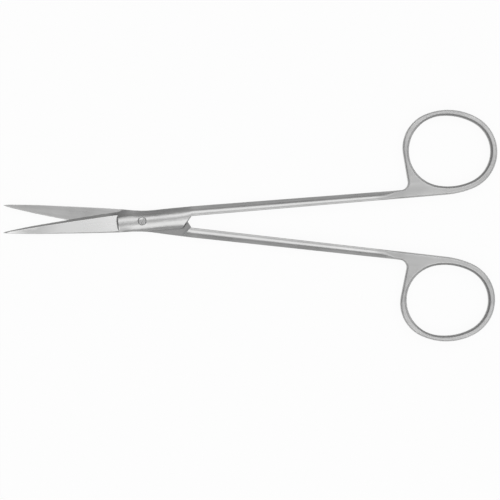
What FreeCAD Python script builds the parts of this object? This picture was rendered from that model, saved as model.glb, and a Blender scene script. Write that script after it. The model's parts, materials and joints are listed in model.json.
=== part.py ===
import FreeCAD, Part

import math
import os

import Sketcher
from FreeCAD import Placement, Rotation, Vector

# Surgical scissors, straight, both tips sharp, 160 mm long when closed.
# They lie flat on a table with the blades a little open. Z is up, and the
# pivot's axis is the Z axis. X runs towards the finger rings.
# All lengths are in millimetres and all angles in degrees.

# Each half is drawn in its own closed frame: X along the closed scissors,
# the origin on the pivot's axis in the plane where the two halves meet,
# +Y on the side of its finger ring and +Z outwards from that plane.
# Distances called front go to +Y and distances called back go to -Y.

SIZES = {
    "how the two halves lie": {
        "opening": 11.34,           # angle between the halves
        "lap_gap": 0.06,            # between the two lapped faces
        "closing_gap": 0.25,        # left at the shoulders when closed
    },
    "blade": {
        "blade_length": 37.2,       # from the tip to the step at the joint
        "blade_back": 3.0,          # spine, from the centre line at the step
        "blade_front": 3.52,        # cutting edge, from the centre line there
        "blade_taper": 0.69,        # power of the outline towards the tip
        "spine_thick": 1.45,        # at the step
        "tip_thick": 0.35,
        "spine_round": 0.35,
        "bevel_width": 0.95,        # ground edge, at the step
        "bevel_angle": 36.0,
        "hollow_radius": 60.0,      # wheel that hollowed the inner face
        "runout_length": 1.8,       # where the ground face rises to the step
        "runout_rise": 0.05,
    },
    "joint": {
        "joint_height": 3.8,        # both halves together
        "step_reach": 7.6,          # from the pivot to the step
        "step_side": 1.35,           # side of the joint at the step
        "step_ridge": -0.5,         # ridge of the crown, from the centre line
        "step_slope": 0.6,          # length of the slope up to the step
        "foot_height": 1.05,        # start of that slope, inside the blade
        "foot_inset": 0.15,
        "heel_front": 3.81,
        "heel_side": 1.0,
        "heel_ridge": -0.45,
        "pivot_front": 3.34,
        "pivot_side": 0.88,
        "pivot_ridge": -0.3,
        "waist_front": 3.23,
        "waist_side": 0.68,
        "waist_ridge": -0.17,
        "flare_front": 3.33,
        "flare_side": 0.5,
        "flare_ridge": -0.08,
        "neck_front": 3.38,
        "neck_side": 0.4,
        "neck_ridge": 0.05,
        "back_flare": 0.021,        # growth of the back for each mm of X
        "ridge_land": 0.2,          # flat width along the ridge
        "pad_end": 15.9,            # end of the lapped pad at the shank
        "pad_corner": 12.9,         # end of the lapped pad at its back
        "pad_bevel": 0.3,           # on the crown's edge at the pad's end
    },
    "shank": {
        "shank_inner": 0.28,        # inner face, from the centre line
        "shank_start": 16.0,
        "shank_front": 3.43,        # outer side where the shank starts
        "shank_height": 3.5,        # where the shank starts
        "shank_round": 0.35,        # its inner corners
        "shank_flatten": 77.5,      # from here the crown flattens
        "parting_land": 0.4,        # height of the outermost line
        "side_slope": 1.35,         # outer slope, against that of its chord
    },
    "finger ring": {
        "web_start": 82.8,
        "web_front": 2.93,          # outer side of the shank at the web
        "ring_height": 3.0,
        "ring_near": 85.1,         # outermost X, nearest the joint
        "ring_far": 115.2,         # outermost X, at the far end
        "ring_top": 27.33,          # outermost Y
        "ring_turn": 98.0,          # where the inner line starts to curve
        "turn_radius": 28.0,
        "far_radius": 12.6,
        "top_radius": 19.0,
        "near_radius": 11.5,
        "crotch_radius": 2.4,
        "crotch_shift": 83.5,       # centre of that radius
        "hole_shift": 100.05,        # centre of the finger hole
        "hole_side": 14.08,
        "hole_long": 26.25,
        "hole_short": 22.7,
        "hole_side_radius": 18.4,
        "hole_bulge": 0.95,         # fullest this much nearer the joint
        "hole_lean": 6.8,           # lean of the hole's long axis
        "rim_bevel": 0.4,
        "hole_bevel": 0.65,
    },
    "joint screw": {
        "head_width": 2.6,
        "head_height": 0.9,
        "head_sink": 0.12,          # head below the ridge of the crown
        "head_bevel": 0.15,
        "head_gap": 0.04,
        "shoulder_width": 2.2,
        "running_gap": 0.03,        # radial, for the half that turns on it
        "thread_width": 1.8,
        "thread_gap": 0.01,
        "thread_chamfer": 0.2,
        "slot_width": 0.3,
        "slot_depth": 0.2,
        "slot_angle": 62.0,
    },
}

# Two points closer than this are the same point.
TOUCHING = 1e-5

# The bar's corners are round, with the radius that follows the ring's bevel
# most closely where the two meet.
CORNER_ROUND = "(1.5 * sizes.rim_bevel)"

os.makedirs("parts", exist_ok=True)
doc = FreeCAD.newDocument("surgical_scissors")
sheet = doc.addObject("Spreadsheet::Sheet", "sizes")
row = 1
for group, cells in SIZES.items():
    sheet.set(f"A{row}", group)
    row += 1
    for alias, value in cells.items():
        sheet.set(f"A{row}", alias)
        sheet.set(f"B{row}", str(value))
        sheet.setAlias(f"B{row}", alias)
        row += 1
doc.recompute()


def number(expression):
    """The value of an expression with the present sizes."""
    return float(sheet.evalExpression(expression))


def spot(across, up):
    """A point of a sketch, from two expressions."""
    return Vector(number(across), number(up), 0)


def bind(sketch, kind, references, expression):
    """Add a dimension to a sketch and tie it to the sheet."""
    constraint = Sketcher.Constraint(kind, *references, number(expression))
    index = sketch.addConstraint(constraint)
    sketch.setExpression(f"Constraints[{index}]", expression)


def tie(sketch, kind, *references):
    """Add a geometric constraint to a sketch."""
    sketch.addConstraint(Sketcher.Constraint(kind, *references))


def hold(sketch, edge, end, across=None, up=None):
    """Hold a point of an edge at a distance from the sketch's origin."""
    if across is not None:
        bind(sketch, "DistanceX", (-1, 1, edge, end), across)
    if up is not None:
        bind(sketch, "DistanceY", (-1, 1, edge, end), up)


def sketch_on(body, role, name, offset="0", across="0", up="0", turn="0"):
    """An empty sketch, parallel to one of the body's own planes."""
    sketch = body.newObject("Sketcher::SketchObject", name)
    plane = next(item for item in body.Origin.OriginFeatures if item.Role == role)
    sketch.AttachmentSupport = (plane, [""])
    sketch.MapMode = "FlatFace"
    sketch.setExpression("AttachmentOffset.Base.x", across)
    sketch.setExpression("AttachmentOffset.Base.y", up)
    sketch.setExpression("AttachmentOffset.Base.z", offset)
    sketch.setExpression("AttachmentOffset.Rotation.Angle", turn)
    return sketch


def arc(centre, start, end):
    """Arc that turns anticlockwise about a centre."""
    first = math.atan2(start.y - centre.y, start.x - centre.x)
    last = math.atan2(end.y - centre.y, end.x - centre.x)
    if last < first:
        last += math.tau
    circle = Part.Circle(centre, Vector(0, 0, 1), centre.distanceToPoint(start))
    return Part.ArcOfCircle(circle, first, last)


def crown_centre(level, side):
    """Centre of the arc that is level at one point and meets another."""
    reach = side.x - level.x
    drop = level.y - side.y
    return Vector(level.x, level.y - (reach ** 2 + drop ** 2) / (2 * drop), 0)


def flipped(point):
    return Vector(point.x, -point.y, 0)


def polygon(sketch, corners):
    """A closed outline through corners that are pairs of expressions."""
    points = [spot(*corner) for corner in corners]
    for start, end in zip(points, points[1:] + points[:1]):
        sketch.addGeometry(Part.LineSegment(start, end), False)
    for index, corner in enumerate(corners):
        tie(sketch, "Coincident", index, 2, (index + 1) % len(corners), 1)
        hold(sketch, index, 1, *corner)


def crowned_section(body, name, offset, inner, outer, ridge, land, top, inner_wall, outer_wall):
    """Cross-section of the forged bar, the same below its middle as above.

    inner and outer are the Y of its sides, and inner_wall and outer_wall
    their half-heights. ridge is the Y of the middle of the flat land along
    the crown, which is as wide as land and as high as top. The outer side of
    the crown is an arc that runs out in a straight slope.
    """
    sketch = sketch_on(body, "YZ_Plane", name, offset)
    land_outer = f"{ridge} + {land} / 2"
    land_inner = f"{ridge} - {land} / 2"
    side_out = spot(outer, outer_wall)
    crown_out = spot(land_outer, top)
    crown_in = spot(land_inner, top)
    side_in = spot(inner, inner_wall)
    width = f"({outer} - ({land_outer}))"
    drop = f"({top} - {outer_wall})"
    slope = f"(sizes.side_slope * atan({drop} / {width}))"
    radius = f"(({width} * tan({slope}) - {drop}) / (1 / cos({slope}) - 1))"
    slope_across = f"{land_outer} + {radius} * sin({slope})"
    slope_up = f"{top} - {radius} * (1 - cos({slope}))"
    slope_out = spot(slope_across, slope_up)
    centre_out = crown_centre(crown_out, slope_out)
    centre_in = crown_centre(crown_in, side_in)
    outline = [
        Part.LineSegment(flipped(side_out), side_out),
        Part.LineSegment(side_out, slope_out),
        arc(centre_out, slope_out, crown_out),
        Part.LineSegment(crown_out, crown_in),
        arc(centre_in, crown_in, side_in),
        Part.LineSegment(side_in, flipped(side_in)),
        arc(flipped(centre_in), flipped(side_in), flipped(crown_in)),
        Part.LineSegment(flipped(crown_in), flipped(crown_out)),
        arc(flipped(centre_out), flipped(crown_out), flipped(slope_out)),
        Part.LineSegment(flipped(slope_out), flipped(side_out)),
    ]
    sketch.addGeometry(outline, False)
    for edge in range(len(outline)):
        tie(sketch, "Coincident", edge, 2, (edge + 1) % len(outline), 1)
    for upper, lower in ((0, 9), (1, 8), (2, 7), (3, 6), (4, 5)):
        tie(sketch, "Symmetric", upper, 2, lower, 2, -1)
    for crown, level in ((2, 2), (4, 1), (6, 2), (8, 1)):
        tie(sketch, "Vertical", crown, 3, crown, level)
    tie(sketch, "Horizontal", 3)
    hold(sketch, 0, 2, outer, outer_wall)
    hold(sketch, 1, 2, slope_across, slope_up)
    hold(sketch, 2, 2, land_outer, top)
    hold(sketch, 3, 2, land_inner)
    hold(sketch, 4, 2, inner, inner_wall)
    return sketch


def blade_section(body, name, from_tip, rise="0"):
    """Cross-section of the blade: hollow inner face, ground outer face."""
    share = f"(({from_tip}) / sizes.blade_length)"
    width = f"{share} ^ sizes.blade_taper"
    back = f"-sizes.blade_back * {width}"
    front = f"sizes.blade_front * {width}"
    inner_face = "sizes.lap_gap / 2"
    bevel = f"sizes.bevel_width * {share} ^ (sizes.blade_taper / 2)"
    bevel_top = f"{inner_face} + {bevel} * tan(sizes.bevel_angle) + {rise}"
    corner = f"sizes.spine_round * {width}"
    spine_top = f"sizes.tip_thick + (sizes.spine_thick - sizes.tip_thick) * {share} + {rise}"
    corners = [
        (front, inner_face),
        (f"{front} - {bevel}", bevel_top),
        (f"{back} + {corner}", spine_top),
        (back, f"{spine_top} - {corner}"),
        (back, inner_face),
    ]
    sketch = sketch_on(body, "YZ_Plane", name, f"{from_tip} - sizes.blade_length - sizes.step_reach")
    points = [spot(*pair) for pair in corners]
    for index in range(4):
        sketch.addGeometry(Part.LineSegment(points[index], points[index + 1]), False)
    half_width = (points[0].x - points[4].x) / 2
    radius = number("sizes.hollow_radius")
    middle = Vector(points[4].x + half_width, points[0].y - math.sqrt(radius ** 2 - half_width ** 2), 0)
    sketch.addGeometry(arc(middle, points[0], points[4]), False)
    for index in range(3):
        tie(sketch, "Coincident", index, 2, index + 1, 1)
    tie(sketch, "Coincident", 3, 2, 4, 2)
    tie(sketch, "Coincident", 4, 1, 0, 1)
    for index in range(4):
        hold(sketch, index, 1, *corners[index])
    hold(sketch, 3, 2, *corners[4])
    bind(sketch, "Radius", (4,), "sizes.hollow_radius")
    return sketch


def loft(body, name, sections, ruled=False):
    """A solid through cross-sections that follow one another."""
    feature = body.newObject("PartDesign::AdditiveLoft", name)
    feature.Profile = sections[0]
    feature.Sections = sections[1:]
    feature.Ruled = ruled
    doc.recompute()
    return feature


def pad(body, name, sketch, length):
    """A plate, half of it on each side of its sketch."""
    feature = body.newObject("PartDesign::Pad", name)
    feature.Profile = sketch
    feature.SideType = "Symmetric"
    feature.setExpression("Length", length)
    doc.recompute()
    return feature


def pocket(body, name, sketch, length=None, both_ways=False):
    """A cut down from its sketch, or on both sides of it."""
    feature = body.newObject("PartDesign::Pocket", name)
    feature.Profile = sketch
    if both_ways:
        feature.SideType = "Symmetric"
    if length is None:
        feature.Type = "ThroughAll"
    else:
        feature.setExpression("Length", length)
    doc.recompute()
    return feature


def bevel(body, name, base, size, wanted):
    """Bevel the edges of a feature that a test picks out."""
    edges = [f"Edge{index}" for index, edge in enumerate(base.Shape.Edges, 1) if wanted(edge)]
    feature = body.newObject("PartDesign::Chamfer", name)
    feature.Base = (base, edges)
    feature.setExpression("Size", size)
    doc.recompute()
    return feature


def ring_outline(body):
    """Outline of the flat web and the ring around it, arc after arc."""
    sketch = sketch_on(body, "XY_Plane", "ring_outline")
    size = {alias: number(f"sizes.{alias}") for alias in SIZES["finger ring"]}
    inner = number("sizes.shank_inner")
    turn = Vector(size["ring_turn"], inner + size["turn_radius"], 0)
    far = Vector(size["ring_far"] - size["far_radius"], 0, 0)
    far.y = turn.y - math.sqrt((size["turn_radius"] - size["far_radius"]) ** 2 - (far.x - turn.x) ** 2)
    top = Vector(0, size["ring_top"] - size["top_radius"], 0)
    top.x = far.x - math.sqrt((size["top_radius"] - size["far_radius"]) ** 2 - (far.y - top.y) ** 2)
    near = Vector(size["ring_near"] + size["near_radius"], 0, 0)
    near.y = top.y + math.sqrt((size["top_radius"] - size["near_radius"]) ** 2 - (near.x - top.x) ** 2)
    crotch = Vector(size["crotch_shift"], size["web_front"] + size["crotch_radius"], 0)
    apart = near - crotch
    lean = math.atan2(apart.y, apart.x)
    lean += math.asin((size["near_radius"] + size["crotch_radius"]) / apart.Length)
    leftwards = Vector(-math.sin(lean), math.cos(lean), 0)

    def beyond(centre, other, radius):
        return centre + (centre - other).normalize() * radius

    inner_start = Vector(size["web_start"], inner, 0)
    turn_start = Vector(turn.x, inner, 0)
    turn_end = beyond(far, turn, size["far_radius"])
    top_start = beyond(far, top, size["far_radius"])
    top_end = beyond(near, top, size["near_radius"])
    near_end = near + leftwards * size["near_radius"]
    crotch_end = crotch - leftwards * size["crotch_radius"]
    crotch_start = Vector(crotch.x, size["web_front"], 0)
    outer_end = Vector(size["web_start"], size["web_front"], 0)
    sketch.addGeometry([
        Part.LineSegment(inner_start, turn_start),
        arc(turn, turn_start, turn_end),
        arc(far, turn_end, top_start),
        arc(top, top_start, top_end),
        arc(near, top_end, near_end),
        Part.LineSegment(near_end, crotch_end),
        arc(crotch, crotch_start, crotch_end),
        Part.LineSegment(crotch_start, outer_end),
        Part.LineSegment(outer_end, inner_start),
    ], False)
    for edge in range(5):
        tie(sketch, "Tangent", edge, 2, edge + 1, 1)
    tie(sketch, "Tangent", 5, 2, 6, 2)
    tie(sketch, "Tangent", 6, 1, 7, 1)
    tie(sketch, "Coincident", 7, 2, 8, 1)
    tie(sketch, "Coincident", 8, 2, 0, 1)
    tie(sketch, "Horizontal", 0)
    tie(sketch, "Horizontal", 7)
    tie(sketch, "Vertical", 8)
    hold(sketch, 0, 1, "sizes.web_start", "sizes.shank_inner")
    hold(sketch, 0, 2, "sizes.ring_turn")
    hold(sketch, 2, 3, "sizes.ring_far - sizes.far_radius")
    hold(sketch, 3, 3, None, "sizes.ring_top - sizes.top_radius")
    hold(sketch, 4, 3, "sizes.ring_near + sizes.near_radius")
    hold(sketch, 6, 3, "sizes.crotch_shift")
    hold(sketch, 7, 2, None, "sizes.web_front")
    radii = ((1, "turn"), (2, "far"), (3, "top"), (4, "near"), (6, "crotch"))
    for edge, name in radii:
        bind(sketch, "Radius", (edge,), f"sizes.{name}_radius")
    return sketch


def finger_hole(body):
    """Egg-shaped finger hole, four arcs that run into one another."""
    sketch = sketch_on(body, "XY_Plane", "finger_hole", "0",
                       "sizes.hole_shift", "sizes.hole_side", "-sizes.hole_lean")
    half_long = "sizes.hole_long / 2"
    half_short = "sizes.hole_short / 2"
    side_radius = "sizes.hole_side_radius"
    side_shift = "-sizes.hole_bulge"
    side_depth = f"({half_short} - {side_radius})"

    def end_radius(reach):
        return (f"((2 * {side_radius} * {half_short} - ({half_short}) ^ 2 - ({reach}) ^ 2)"
                f" / (2 * ({side_radius} - ({reach}))))")

    far_radius = end_radius(f"{half_long} + sizes.hole_bulge")
    near_radius = end_radius(f"{half_long} - sizes.hole_bulge")
    far_shift = f"({half_long} - {far_radius})"
    near_shift = f"({near_radius} - {half_long})"
    far_centre = spot(far_shift, "0")
    near_centre = spot(near_shift, "0")
    side_centre = spot(side_shift, side_depth)
    far_corner = far_centre + (far_centre - side_centre).normalize() * number(far_radius)
    near_corner = near_centre + (near_centre - side_centre).normalize() * number(near_radius)
    outline = [
        arc(far_centre, flipped(far_corner), far_corner),
        arc(side_centre, far_corner, near_corner),
        arc(near_centre, near_corner, flipped(near_corner)),
        arc(flipped(side_centre), flipped(near_corner), flipped(far_corner)),
    ]
    sketch.addGeometry(outline, False)
    for edge in range(len(outline)):
        tie(sketch, "Tangent", edge, 2, (edge + 1) % len(outline), 1)
    for end, shift in ((0, far_shift), (2, near_shift)):
        tie(sketch, "PointOnObject", end, 3, -1)
        hold(sketch, end, 3, shift)
    tie(sketch, "Equal", 1, 3)
    bind(sketch, "Radius", (1,), side_radius)
    hold(sketch, 1, 3, side_shift, side_depth)
    return sketch


def finger_ring(body):
    """The flat web and finger ring, with bevelled rims."""
    height = number("sizes.ring_height") / 2
    start = number("sizes.web_start")
    plate = pad(body, "ring_plate", ring_outline(body), "sizes.ring_height")

    def on_rim(edge):
        flat = all(abs(abs(vertex.Z) - height) < TOUCHING for vertex in edge.Vertexes)
        at_start = all(abs(vertex.X - start) < TOUCHING for vertex in edge.Vertexes)
        return flat and not at_start

    bevel(body, "ring_rim", plate, "sizes.rim_bevel", on_rim)
    hole = pocket(body, "ring_hole", finger_hole(body), both_ways=True)
    centre = Vector(number("sizes.hole_shift"), number("sizes.hole_side"), 0)
    reach = number("sizes.hole_long / 2 + sizes.rim_bevel / 2")

    def on_hole(edge):
        flat = abs(abs(edge.CenterOfMass.z) - height) < TOUCHING
        near = all(Vector(v.X - centre.x, v.Y - centre.y, 0).Length < reach for v in edge.Vertexes)
        return flat and near and edge.Curve.TypeId == "Part::GeomCircle"

    return bevel(body, "hole_rim", hole, "sizes.hole_bevel", on_hole)


def shank_section(body, along, flattened):
    """Section of the bar: a share of its straight run, then of its end."""
    start = "sizes.shank_start"
    flatten = "sizes.shank_flatten"
    end = "sizes.web_start"
    offset = f"({start} + ({flatten} - {start}) * {along} + ({end} - {flatten}) * {flattened})"
    share = f"(({offset} - {start}) / ({end} - {start}))"
    outer = f"(sizes.shank_front + (sizes.web_front - sizes.shank_front) * {share})"
    top = f"((sizes.shank_height + (sizes.ring_height - sizes.shank_height) * {share}) / 2)"
    eased = flattened ** 2 * (3 - 2 * flattened)
    corner = f"(sizes.shank_round + ({CORNER_ROUND} - sizes.shank_round) * {eased})"
    land_start = f"(sizes.shank_inner + {corner})"
    full_land = f"({outer} - {CORNER_ROUND} - {land_start})"
    land = f"(sizes.ridge_land + ({full_land} - sizes.ridge_land) * {eased})"
    ridge = f"{land_start} + {land} / 2"
    thin_wall = "sizes.parting_land / 2"
    outer_wall = f"({thin_wall} + ({top} - {CORNER_ROUND} - {thin_wall}) * {eased})"
    return crowned_section(body, "shank_section", offset, "sizes.shank_inner", outer,
                           ridge, land, top, f"({top} - {corner})", outer_wall)


def shank(body):
    """The long bar from the joint to the web, flattening at its end."""
    start = shank_section(body, 0, 0)
    straight_end = shank_section(body, 1, 0)
    flattening = [shank_section(body, 1, share) for share in (0.33, 0.67, 1)]
    loft(body, "shank_end", [straight_end] + flattening)
    return loft(body, "shank_bar", [start, straight_end], True)


def joint(body):
    """The crowned joint from the step to the shank, lapped to half height."""
    shank_ridge = "sizes.shank_inner + sizes.shank_round + sizes.ridge_land / 2"
    stations = (
        ("blade_front", "step_ridge", "step_side", 0),
        ("heel_front", "heel_ridge", "heel_side", 0),
        ("pivot_front", "pivot_ridge", "pivot_side", 0),
        ("waist_front", "waist_ridge", "waist_side", 0),
        ("flare_front", "flare_ridge", "flare_side", 0.1),
        ("neck_front", "neck_ridge", "neck_side", 0.5),
        ("shank_front", None, "neck_side", 1),
    )
    foot = crowned_section(
        body, "step_foot", "-sizes.step_reach - sizes.step_slope",
        "sizes.foot_inset - sizes.blade_back", "sizes.blade_front - sizes.foot_inset",
        "sizes.step_ridge", "sizes.ridge_land", "sizes.foot_height",
        "sizes.foot_height - sizes.foot_inset", "sizes.parting_land / 2")
    sections = []
    for index, (front, ridge, side, lowered) in enumerate(stations):
        share = index / (len(stations) - 1)
        offset = f"(sizes.shank_start + sizes.step_reach) * {share} - sizes.step_reach"
        back = f"-(sizes.blade_back + sizes.back_flare * ({offset} + sizes.step_reach))"
        top = f"(sizes.joint_height + (sizes.shank_height - sizes.joint_height) * {lowered}) / 2"
        middle = f"sizes.{ridge}" if ridge else shank_ridge
        sections.append(crowned_section(
            body, "joint_section", offset, back, f"sizes.{front}", middle, "sizes.ridge_land",
            top, f"sizes.{side}", "sizes.parting_land / 2"))
    loft(body, "joint_bar", sections)
    loft(body, "joint_step", [foot, sections[0]], True)

    corner_back = "(sizes.blade_back + sizes.back_flare * (sizes.pad_corner + sizes.step_reach))"
    slant = f"((sizes.pad_end - sizes.pad_corner) / ({corner_back} + sizes.shank_inner))"
    clear = "2 * sizes.heel_front"
    lap = sketch_on(body, "XY_Plane", "lap_outline", "sizes.lap_gap / 2")
    shoulder = f"(sizes.pad_end + sizes.closing_gap - sizes.shank_inner * {slant})"
    polygon(lap, [
        ("-2 * sizes.step_reach", f"-{clear}"),
        (f"{shoulder} + {clear} * {slant}", f"-{clear}"),
        (f"{shoulder} - {clear} * {slant}", clear),
        ("-2 * sizes.step_reach", clear),
    ])
    pocket(body, "lap_cut", lap)
    end = sketch_on(body, "XY_Plane", "pad_end_outline")
    polygon(end, [
        ("sizes.pad_end", "sizes.shank_inner"),
        (f"sizes.pad_end - {slant} * ({clear} + sizes.shank_inner)", f"-{clear}"),
        ("2 * sizes.shank_start", f"-{clear}"),
        ("2 * sizes.shank_start", "sizes.shank_inner"),
    ])
    cut = pocket(body, "pad_end_cut", end, both_ways=True)
    along = Vector(number(slant), 1, 0)
    corner = Vector(number("sizes.pad_end"), number("sizes.shank_inner"), 0)
    lap_height = number("sizes.lap_gap")

    def on_end_crown(edge):
        points = [vertex.Point - corner for vertex in edge.Vertexes]
        above = all(point.z > lap_height for point in points)
        return above and all(abs(point.x - along.x * point.y) < TOUCHING for point in points)

    return bevel(body, "pad_end_bevel", cut, "sizes.pad_bevel", on_end_crown)


def blade(body):
    """The ground blade with its run-out up to the step."""
    shares = (0.003, 0.03, 0.1, 0.22, 0.42, 0.7)
    runout = "sizes.blade_length - sizes.runout_length"
    sections = [blade_section(body, "blade_section", f"({runout}) * {share}") for share in shares]
    ground_end = blade_section(body, "blade_section", f"({runout})")
    step_end = blade_section(body, "blade_section", "sizes.blade_length", "sizes.runout_rise")
    loft(body, "blade_runout", [ground_end, step_end], True)
    return loft(body, "blade_ground", sections + [ground_end])


def bore(body, name, offset, width, upwards=False):
    """A round hole on the pivot's axis, all the way down or up from a height."""
    sketch = sketch_on(body, "XY_Plane", name + "_outline", offset)
    radius = f"({width}) / 2"
    sketch.addGeometry(Part.Circle(Vector(), Vector(0, 0, 1), number(radius)), False)
    tie(sketch, "Coincident", 0, 3, -1, 1)
    bind(sketch, "Radius", (0,), radius)
    feature = pocket(body, name, sketch)
    feature.Reversed = upwards
    doc.recompute()
    return feature


def scissor_half(label):
    """One forged half: ring, shank, joint and blade in one piece."""
    body = doc.addObject("PartDesign::Body", label)
    body.Label = label
    finger_ring(body)
    shank(body)
    joint(body)
    blade(body)
    return body


def front_half():
    """The half on top, which turns on the shoulder of the screw."""
    body = scissor_half("front_half")
    bore(body, "shoulder_bore", "sizes.joint_height",
         "sizes.shoulder_width + 2 * sizes.running_gap")
    bore(body, "head_seat", "sizes.joint_height / 2 - sizes.head_height - sizes.running_gap",
         "sizes.head_width + 2 * sizes.head_gap", True)
    body.setExpression("Placement.Base.z", "sizes.joint_height / 2")
    body.setExpression("Placement.Rotation.Angle", "sizes.opening / 2")
    return body


def back_half():
    """The half below, turned over, which holds the screw's thread."""
    body = scissor_half("back_half")
    bore(body, "thread_bore", "sizes.joint_height",
         "sizes.thread_width + 2 * sizes.thread_gap")
    body.Placement = Placement(Vector(), Rotation(Vector(1, 0, 0), 180))
    body.setExpression("Placement.Base.z", "sizes.joint_height / 2")
    body.setExpression("Placement.Rotation.Axis.x", "cos(sizes.opening / 4)")
    body.setExpression("Placement.Rotation.Axis.y", "-sin(sizes.opening / 4)")
    return body


def joint_screw():
    """Shouldered screw: head in the front half, thread in the back half."""
    body = doc.addObject("PartDesign::Body", "joint_screw")
    body.Label = "joint_screw"
    top = "sizes.joint_height / 2 - sizes.head_sink"
    under_head = "sizes.joint_height / 2 - sizes.head_height"
    bottom = "-sizes.joint_height / 2"
    seat = "-sizes.lap_gap / 2"
    thread = "sizes.thread_width / 2"
    profile = sketch_on(body, "XZ_Plane", "screw_profile")
    polygon(profile, [
        ("0", bottom),
        (f"{thread} - sizes.thread_chamfer", bottom),
        (thread, f"{bottom} + sizes.thread_chamfer"),
        (thread, seat),
        ("sizes.shoulder_width / 2", seat),
        ("sizes.shoulder_width / 2", under_head),
        ("sizes.head_width / 2", under_head),
        ("sizes.head_width / 2", f"{top} - sizes.head_bevel"),
        ("sizes.head_width / 2 - sizes.head_bevel", top),
        ("0", top),
    ])
    turned = body.newObject("PartDesign::Revolution", "turned_screw")
    turned.Profile = profile
    turned.ReferenceAxis = (profile, ["V_Axis"])
    doc.recompute()

    slot = sketch_on(body, "XY_Plane", "slot_outline", top, turn="sizes.slot_angle")
    polygon(slot, [
        ("-sizes.head_width", "-sizes.slot_width / 2"),
        ("sizes.head_width", "-sizes.slot_width / 2"),
        ("sizes.head_width", "sizes.slot_width / 2"),
        ("-sizes.head_width", "sizes.slot_width / 2"),
    ])
    pocket(body, "driver_slot", slot, "sizes.slot_depth")
    body.setExpression("Placement.Base.z", "sizes.joint_height / 2")
    return body


parts = [front_half(), back_half(), joint_screw()]
doc.recompute()

for item in doc.Objects:
    if "Invalid" in item.State or "Error" in item.State:
        raise RuntimeError(f"{item.Name} failed: {item.State}")
for part in parts:
    if part.Shape.isNull() or not part.Shape.isValid() or len(part.Shape.Solids) != 1:
        raise RuntimeError(f"{part.Label} is not one sound solid")
for part in parts:
    part.Shape.exportStep(f"parts/{part.Label}.step")
    print(part.Label, round(part.Shape.Volume, 2), part.Shape.BoundBox)
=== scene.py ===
import json
import math

import bpy
from mathutils import Matrix, Vector

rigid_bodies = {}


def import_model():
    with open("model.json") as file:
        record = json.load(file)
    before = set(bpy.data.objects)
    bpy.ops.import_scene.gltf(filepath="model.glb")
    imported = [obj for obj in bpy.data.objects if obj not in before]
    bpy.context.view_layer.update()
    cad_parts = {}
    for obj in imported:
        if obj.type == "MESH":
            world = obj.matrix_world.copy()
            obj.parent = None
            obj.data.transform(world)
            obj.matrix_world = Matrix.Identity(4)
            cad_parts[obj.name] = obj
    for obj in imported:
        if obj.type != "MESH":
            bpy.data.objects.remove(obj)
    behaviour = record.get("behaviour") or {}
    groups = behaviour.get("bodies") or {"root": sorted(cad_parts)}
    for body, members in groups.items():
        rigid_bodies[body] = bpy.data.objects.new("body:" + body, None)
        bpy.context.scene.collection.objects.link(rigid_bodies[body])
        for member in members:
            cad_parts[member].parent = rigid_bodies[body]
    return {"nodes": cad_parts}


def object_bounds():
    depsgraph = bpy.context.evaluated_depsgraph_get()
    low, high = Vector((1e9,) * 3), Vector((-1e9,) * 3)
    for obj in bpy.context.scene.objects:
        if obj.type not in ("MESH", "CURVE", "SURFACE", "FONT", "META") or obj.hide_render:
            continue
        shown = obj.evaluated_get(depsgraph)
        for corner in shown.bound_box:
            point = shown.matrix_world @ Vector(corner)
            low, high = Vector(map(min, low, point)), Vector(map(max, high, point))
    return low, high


# Surgical scissors in satin steel, lying on a pale floor and seen from
# straight above. Lengths are in metres, in the frame of the CAD model.

# How the photograph is framed.
PIXEL = 0.16 / 499            # size of a pixel at the scissors
FRAME_PIXELS = 500
PIVOT_PIXEL = (142.3, 221.1)
ROLL = math.radians(0.86)     # the scissors' axis points this much downwards
MIDDLE_HEIGHT = 0.0019
LENS = 150.0
SENSOR = 36.0

HALF_OPENING = math.radians(5.67)

# Places on a half, in metres along it from the joint, and across it.
WEB_STARTS = (0.076, 0.084)
FLATTENING = (0.0775, 0.0835)
FLATTENING_BLEND = 0.003
HOLE_CENTRE = (0.10005, 0.01408)
RIM_CURVES = (0.088, 0.093)       # past here the inner rim gets painted shade
RIM_TURN = (0.0, 0.004)           # how far a face turns to the hole
FACET_ENDS = (-0.0072, -0.0078)
SHOULDER = (-0.0076, -0.006)
SHOULDER_BLEND = 0.004
SHOULDER_SIDES = (0.0009, 0.0021)
PAST_FACET = (-0.0076, -0.0072)
OUTER_SIDE = (0.0, 0.0002)
LAP_LEVELS = (0.0018, 0.002)
LAP_LEVEL_BLEND = 0.00005
LAP_LENGTH = (-0.0068, 0.0165)
LAP_END_BLEND = 0.0008
LAP_FADE = (-0.004, 0.004, 1.0, 0.85)

# How level a face is, as the upright part of its normal.
LAP_IS_LEVEL = (0.97, 0.995)
BESIDE_FACET_LEVEL = (0.965, 0.94)
FACET_BELOW = (0.997, 0.9935)
FACET_ABOVE = (0.93, 0.97)

# Tones, as shares of the steel's colour.
CLOUD_DARK = 0.9
CLOUD_LIGHT = 1.08
WORN_EDGE = 1.15
# Painted shade on the ring's outer and inner rims.
OUTER_RIM_SHADE = 0.6
INNER_RIM_SHADE = 0.66
# Painted shade where the shank flattens.
FLATTENING_SHADE = 0.7
# Painted shade on the shoulder's sides, next to the step.
SHOULDER_SHADE = 0.55
# Painted shade on the lapped faces, strongest towards the blades.
LAP_SHADE = 0.52
# Painted highlight on the blade's outer facet.
FACET_HIGHLIGHT = 1.22
# Painted shade in crevices.
CREVICE_SHADE = 0.4

# How much of each tone is laid over the steel.
WORN_SHARE = 0.5
RIM_SHADE_SHARE = 0.8
FLATTENING_SHADE_SHARE = 0.5
SHOULDER_SHADE_SHARE = 0.8
CREVICE_SHADE_SHARE = 0.45
SCREW_CREVICE_SHADE_SHARE = 0.2

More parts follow.
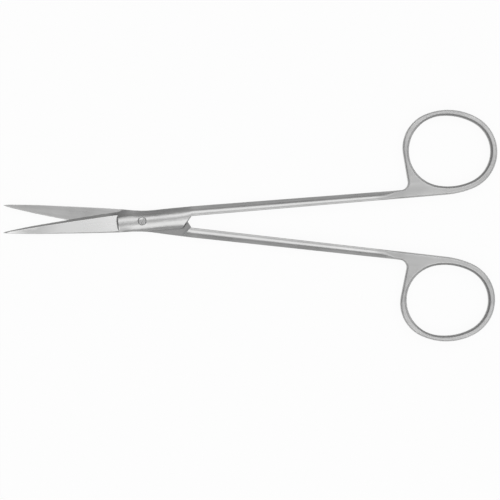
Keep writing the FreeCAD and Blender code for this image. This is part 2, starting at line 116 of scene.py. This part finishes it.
# The radius that shading gives to edges, in metres.
EDGE_RADIUS = 0.00022
FLATTENING_RADIUS = 0.0004
WEB_RADIUS = 0.00038
EDGE_TURN = (0.995, 0.9)          # from a flat face to a full edge
SAMPLES = 8

# The screw's head, ground flush with the crown.
RIDGE_OFFSET = 0.0003
RIDGE_HALF_WIDTH = 0.0008
CROWN_SLOPE = -0.27

for item in list(bpy.data.objects):
    bpy.data.objects.remove(item)

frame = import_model()
cad_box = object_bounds()
nodes = frame["nodes"]


class Graph:
    """Short calls for the nodes of one material or world."""

    def __init__(self, tree):
        self.tree = tree
        tree.nodes.clear()

    def add(self, kind, settings=None, **inputs):
        """A node, with its settings and its inputs by name."""
        node = self.tree.nodes.new(kind)
        for name, value in (settings or {}).items():
            setattr(node, name, value)
        for name, value in inputs.items():
            self.set(node, name.replace("_", " "), value)
        return node

    def set(self, node, name, value):
        """Give an input a value, or link it to another node's output."""
        socket = node.inputs[name]
        if isinstance(value, bpy.types.NodeSocket):
            self.tree.links.new(value, socket)
        else:
            socket.default_value = value

    def math(self, operation, first, second=0.0, clamp=False):
        node = self.add("ShaderNodeMath", {"operation": operation, "use_clamp": clamp})
        for socket, value in zip(node.inputs, (first, second)):
            if isinstance(value, bpy.types.NodeSocket):
                self.tree.links.new(value, socket)
            else:
                socket.default_value = value
        return node.outputs[0]

    def vector(self, operation, first, second=None, output="Vector"):
        node = self.add("ShaderNodeVectorMath", {"operation": operation})
        for socket, value in zip(node.inputs, (first, second)):
            if isinstance(value, bpy.types.NodeSocket):
                self.tree.links.new(value, socket)
            elif value is not None:
                socket.default_value = value
        return node.outputs[output]

    def product(self, first, *others):
        """Several values multiplied in turn."""
        for other in others:
            first = self.math("MULTIPLY", first, other)
        return first

    def weighted(self, first, share, second, other_share):
        """The sum of two values, each with its share."""
        return self.math("ADD", self.product(first, share), self.product(second, other_share))

    def parts(self, vector):
        """The X, Y and Z of a vector."""
        return self.add("ShaderNodeSeparateXYZ", Vector=vector).outputs

    def turned(self, vector, angle):
        """A vector turned about the upright axis."""
        node = self.add("ShaderNodeMapping", {"vector_type": "POINT"}, Vector=vector,
                        Rotation=(0.0, 0.0, angle))
        return node.outputs["Vector"]

    def spread(self, value, low, high, to_low=0.0, to_high=1.0):
        """Map a range of values to another, smoothly and held at its ends."""
        node = self.add("ShaderNodeMapRange", {"interpolation_type": "SMOOTHSTEP"})
        for name, number in (("Value", value), ("From Min", low), ("From Max", high),
                             ("To Min", to_low), ("To Max", to_high)):
            self.set(node, name, number)
        return node.outputs["Result"]

    def noise(self, vector, scale, detail=2.0, roughness=0.5):
        """Noise from 0 to 1, its size in features to the metre."""
        node = self.add("ShaderNodeTexNoise", {"noise_dimensions": "3D"},
                        Vector=vector, Scale=scale, Detail=detail, Roughness=roughness)
        return node.outputs["Fac"]

    def stretched(self, vector, scale):
        """The same coordinates, stretched."""
        node = self.add("ShaderNodeMapping", {"vector_type": "POINT"}, Vector=vector, Scale=scale)
        return node.outputs["Vector"]

    def mix(self, factor, first, second):
        """One colour over another."""
        node = self.add("ShaderNodeMix", {"data_type": "RGBA"})
        self.set(node, "Factor", factor)
        for socket, value in zip((node.inputs[6], node.inputs[7]), (first, second)):
            if isinstance(value, bpy.types.NodeSocket):
                self.tree.links.new(value, socket)
            else:
                socket.default_value = value
        return node.outputs[2]


def between(graph, value, low, high, blend):
    """1 between two limits and 0 beyond them, with a soft change."""
    return graph.product(graph.spread(value, low - blend, low),
                         graph.spread(value, high, high + blend, 1.0, 0.0))


def tinted(colour, share):
    """A share of a colour, for a shader's socket."""
    return tuple(min(channel * share, 1.0) for channel in colour) + (1.0,)


def lapped_faces(graph, axes, level):
    """1 on the flat faces where the halves turn on each other."""
    return graph.product(between(graph, axes["Z"], *LAP_LEVELS, LAP_LEVEL_BLEND),
                         between(graph, axes["X"], *LAP_LENGTH, LAP_END_BLEND),
                         graph.spread(level, *LAP_IS_LEVEL))


def shoulder_sides(graph, axes, facing, level):
    """1 on the outer sides of the joint, next to the step down to the blade."""
    off_axis = graph.math("ABSOLUTE", axes["Y"])
    outward = graph.product(graph.math("SUBTRACT", axes["Z"], MIDDLE_HEIGHT), facing["Z"])
    beside_facet = graph.math("MAXIMUM", graph.spread(axes["X"], *PAST_FACET),
                              graph.spread(level, *BESIDE_FACET_LEVEL))
    return graph.product(between(graph, axes["X"], *SHOULDER, SHOULDER_BLEND),
                         graph.spread(off_axis, *SHOULDER_SIDES), beside_facet,
                         graph.spread(outward, *OUTER_SIDE))


def flush_with_crown(graph, place, normal):
    """The normal of the screw's head, which falls away on both sides of the ridge."""
    across = graph.parts(graph.turned(place, -HALF_OPENING))["Y"]
    off_ridge = graph.math("ABSOLUTE", graph.math("ADD", across, RIDGE_OFFSET))
    past_ridge = graph.math("SUBTRACT", off_ridge, RIDGE_HALF_WIDTH)
    fall = graph.product(graph.math("MAXIMUM", past_ridge, 0.0), CROWN_SLOPE)
    return graph.add("ShaderNodeBump", Height=fall, Normal=normal, Strength=1.0,
                     Distance=1.0).outputs["Normal"]


def satin_steel(name, turn, colour, rough, crowned=False):
    """Satin steel with a fine grain along the half, and lighter edges."""
    material = bpy.data.materials.new(name)
    material.use_nodes = True
    graph = Graph(material.node_tree)
    coordinates = graph.add("ShaderNodeTexCoord").outputs
    place = coordinates["Object"]
    along = graph.turned(place, -turn)
    normal_along = graph.turned(coordinates["Normal"], -turn)
    axes = graph.parts(along)
    facing = graph.parts(normal_along)

    grain = graph.noise(graph.stretched(along, (60.0, 1400.0, 1400.0)), 1.0, 3.0, 0.65)
    fine = graph.noise(along, 5200.0, 2.0, 0.6)
    cloud = graph.noise(along, 90.0, 3.0, 0.55)
    streak = graph.noise(graph.stretched(along, (25.0, 520.0, 520.0)), 1.0, 2.0, 0.5)

    flattening = between(graph, axes["X"], *FLATTENING, FLATTENING_BLEND)
    web = graph.spread(axes["X"], *WEB_STARTS)
    radius = graph.weighted(flattening, FLATTENING_RADIUS, web, WEB_RADIUS)
    radius = graph.math("ADD", radius, EDGE_RADIUS)
    soft = graph.add("ShaderNodeBevel", {"samples": SAMPLES}, Radius=radius).outputs["Normal"]
    sharp = graph.add("ShaderNodeNewGeometry").outputs["Normal"]
    edge = graph.spread(graph.vector("DOT_PRODUCT", soft, sharp, "Value"), *EDGE_TURN)
    level = graph.math("ABSOLUTE", graph.parts(sharp)["Z"])

    # The steel is a little uneven, and lighter on the edges of the bar.
    clouds = graph.spread(graph.weighted(cloud, 0.5, streak, 0.5), 0.3, 0.7)
    base = graph.mix(clouds, tinted(colour, CLOUD_DARK), tinted(colour, CLOUD_LIGHT))
    on_bar = graph.math("SUBTRACT", 1.0, web)
    base = graph.mix(graph.product(edge, on_bar, WORN_SHARE), base, tinted(colour, WORN_EDGE))

    # Painted shade darkens the ring's rims, also across the bevel inside, away from the web.
    hole_centre = (HOLE_CENTRE[0], math.copysign(HOLE_CENTRE[1], turn), MIDDLE_HEIGHT)
    to_centre = graph.vector("SUBTRACT", hole_centre, along)
    inward = graph.vector("DOT_PRODUCT", normal_along, to_centre, "Value")
    inside = graph.product(graph.spread(inward, *RIM_TURN), graph.spread(axes["X"], *RIM_CURVES))
    base = graph.mix(graph.product(edge, web, RIM_SHADE_SHARE), base, tinted(colour, OUTER_RIM_SHADE))
    base = graph.mix(inside, base, tinted(colour, INNER_RIM_SHADE))

    # Painted shade also darkens the shank where it flattens, the shoulder's sides and the lapped
    # faces.
    lap = lapped_faces(graph, axes, level)
    shoulder = shoulder_sides(graph, axes, facing, level)
    base = graph.mix(graph.product(flattening, FLATTENING_SHADE_SHARE), base, tinted(colour, FLATTENING_SHADE))
    base = graph.mix(graph.product(shoulder, SHOULDER_SHADE_SHARE), base, tinted(colour, SHOULDER_SHADE))
    base = graph.mix(graph.product(lap, graph.spread(axes["X"], *LAP_FADE)), base,
                     tinted(colour, LAP_SHADE))

    # The outer facet of the blade gets a painted highlight.
    facet = graph.product(graph.spread(axes["X"], *FACET_ENDS), graph.spread(level, *FACET_BELOW),
                          graph.spread(level, *FACET_ABOVE))
    base = graph.mix(facet, base, tinted(colour, FACET_HIGHLIGHT))

    # Painted shade darkens crevices, where ambient occlusion finds steel close by.
    open_sky = graph.add("ShaderNodeAmbientOcclusion", {"samples": SAMPLES},
                         Distance=0.001).outputs["AO"]
    crevice_shade_share = SCREW_CREVICE_SHADE_SHARE if crowned else CREVICE_SHADE_SHARE
    crevice_shade = graph.spread(open_sky, 0.8, 0.3, 0.0, crevice_shade_share)
    base = graph.mix(crevice_shade, base, tinted(colour, CREVICE_SHADE))

    # Edges are smoother, and the lapped faces, web and flattening rougher.
    roughness = graph.spread(graph.weighted(grain, 0.6, cloud, 0.4), 0.3, 0.7,
                             rough - 0.035, rough + 0.045)
    roughness = graph.math("SUBTRACT", roughness, graph.product(edge, 0.06))
    roughness = graph.math("ADD", roughness, graph.product(graph.math("MAXIMUM", lap, web), 0.1))
    roughness = graph.math("ADD", roughness, graph.product(flattening, 0.08))

    normal = graph.add("ShaderNodeBump", Height=graph.weighted(grain, 0.7, fine, 0.3),
                       Normal=soft, Strength=0.25, Distance=0.00001).outputs["Normal"]
    if crowned:
        normal = flush_with_crown(graph, place, normal)

    shader = graph.add("ShaderNodeBsdfPrincipled", Base_Color=base, Metallic=1.0,
                       Roughness=roughness, Normal=normal)
    graph.add("ShaderNodeOutputMaterial", Surface=shader.outputs["BSDF"])
    return material


STEEL = (0.6, 0.6, 0.598)
SCREW_GRAIN = math.radians(62.0)
materials = {
    "front_half": satin_steel("front_satin", HALF_OPENING, STEEL, 0.29),
    "back_half": satin_steel("back_satin", -HALF_OPENING, STEEL, 0.29),
    "joint_screw": satin_steel("screw_satin", SCREW_GRAIN, STEEL, 0.28, crowned=True),
}
for node_name, material in materials.items():
    nodes[node_name].material_slots[0].material = material


def pale_floor():
    """A large floor that the camera and the steel see nearly white."""
    half_side = 3.0
    corners = [(-half_side, -half_side, 0.0), (half_side, -half_side, 0.0),
               (half_side, half_side, 0.0), (-half_side, half_side, 0.0)]
    mesh = bpy.data.meshes.new("floor")
    mesh.from_pydata(corners, [], [(0, 1, 2, 3)])
    floor = bpy.data.objects.new("floor", mesh)
    just_below = 0.00002
    floor.location.z = cad_box[0].z - just_below
    bpy.context.scene.collection.objects.link(floor)
    material = bpy.data.materials.new("white_floor")
    material.use_nodes = True
    graph = Graph(material.node_tree)
    path = graph.add("ShaderNodeLightPath")
    seen = graph.math("MAXIMUM", path.outputs["Is Camera Ray"], path.outputs["Is Transmission Ray"])
    seen = graph.math("MAXIMUM", seen, path.outputs["Is Glossy Ray"])
    matt = graph.add("ShaderNodeBsdfDiffuse", Color=(0.9, 0.9, 0.9, 1.0))
    white = graph.add("ShaderNodeEmission", Color=(1.0, 1.0, 1.0, 1.0), Strength=1.0)
    both = graph.add("ShaderNodeMixShader", Fac=graph.product(seen, 0.93))
    graph.tree.links.new(matt.outputs[0], both.inputs[1])
    graph.tree.links.new(white.outputs[0], both.inputs[2])
    graph.add("ShaderNodeOutputMaterial", Surface=both.outputs[0])
    mesh.materials.append(material)


def soft_world():
    """A plain grey studio, darker towards the horizon and to one end."""
    world = bpy.data.worlds.new("studio")
    bpy.context.scene.world = world
    world.use_nodes = True
    graph = Graph(world.node_tree)
    direction = graph.add("ShaderNodeTexCoord").outputs["Generated"]
    parts = graph.parts(direction)
    upward = graph.spread(parts["Z"], 0.2, 0.95, 0.3, 0.6)
    endwise = graph.spread(parts["X"], -0.8, 0.8, 0.7, 1.3)
    light = graph.add("ShaderNodeBackground", Color=(1.0, 1.0, 1.0, 1.0),
                      Strength=graph.product(upward, endwise))
    graph.add("ShaderNodeOutputWorld", Surface=light.outputs[0])


def soft_box(name, off_vertical, side, width, length, distance, radiance):
    """A long soft light over one side of the scissors, parallel to them."""
    light = bpy.data.lights.new(name, "AREA")
    light.shape = "RECTANGLE"
    light.size = length
    light.size_y = width
    light.energy = radiance * math.pi * width * length
    lamp = bpy.data.objects.new(name, light)
    target = Vector((0.035, 0.0, MIDDLE_HEIGHT))     # near the scissors' middle
    away = Vector((0.0, side * math.sin(off_vertical), math.cos(off_vertical)))
    lamp.matrix_world = (Matrix.Translation(target + away * distance)
                         @ Matrix.Rotation(-side * off_vertical, 4, "X"))
    lamp.visible_camera = False
    bpy.context.scene.collection.objects.link(lamp)


def camera():
    """Straight down, framed as the photograph is."""
    data = bpy.data.cameras.new("camera")
    data.lens = LENS
    data.sensor_width = SENSOR
    right = Vector((math.cos(ROLL), math.sin(ROLL), 0.0))
    up = Vector((-math.sin(ROLL), math.cos(ROLL), 0.0))
    middle = FRAME_PIXELS / 2
    centre = (right * (middle - PIVOT_PIXEL[0]) + up * (PIVOT_PIXEL[1] - middle)) * PIXEL
    distance = PIXEL * FRAME_PIXELS * LENS / SENSOR
    centre.z = MIDDLE_HEIGHT + distance
    item = bpy.data.objects.new("camera", data)
    item.matrix_world = Matrix.Translation(centre) @ Matrix.Rotation(ROLL, 4, "Z")
    bpy.context.scene.collection.objects.link(item)
    bpy.context.scene.camera = item


pale_floor()
soft_world()
soft_box("light_far", math.radians(32.5), side=1, width=0.58, length=1.6, distance=0.9,
         radiance=0.82)
soft_box("light_near", math.radians(36.0), side=-1, width=0.68, length=1.6, distance=0.9,
         radiance=0.82)
camera()
bpy.context.scene.view_settings.view_transform = "Standard"
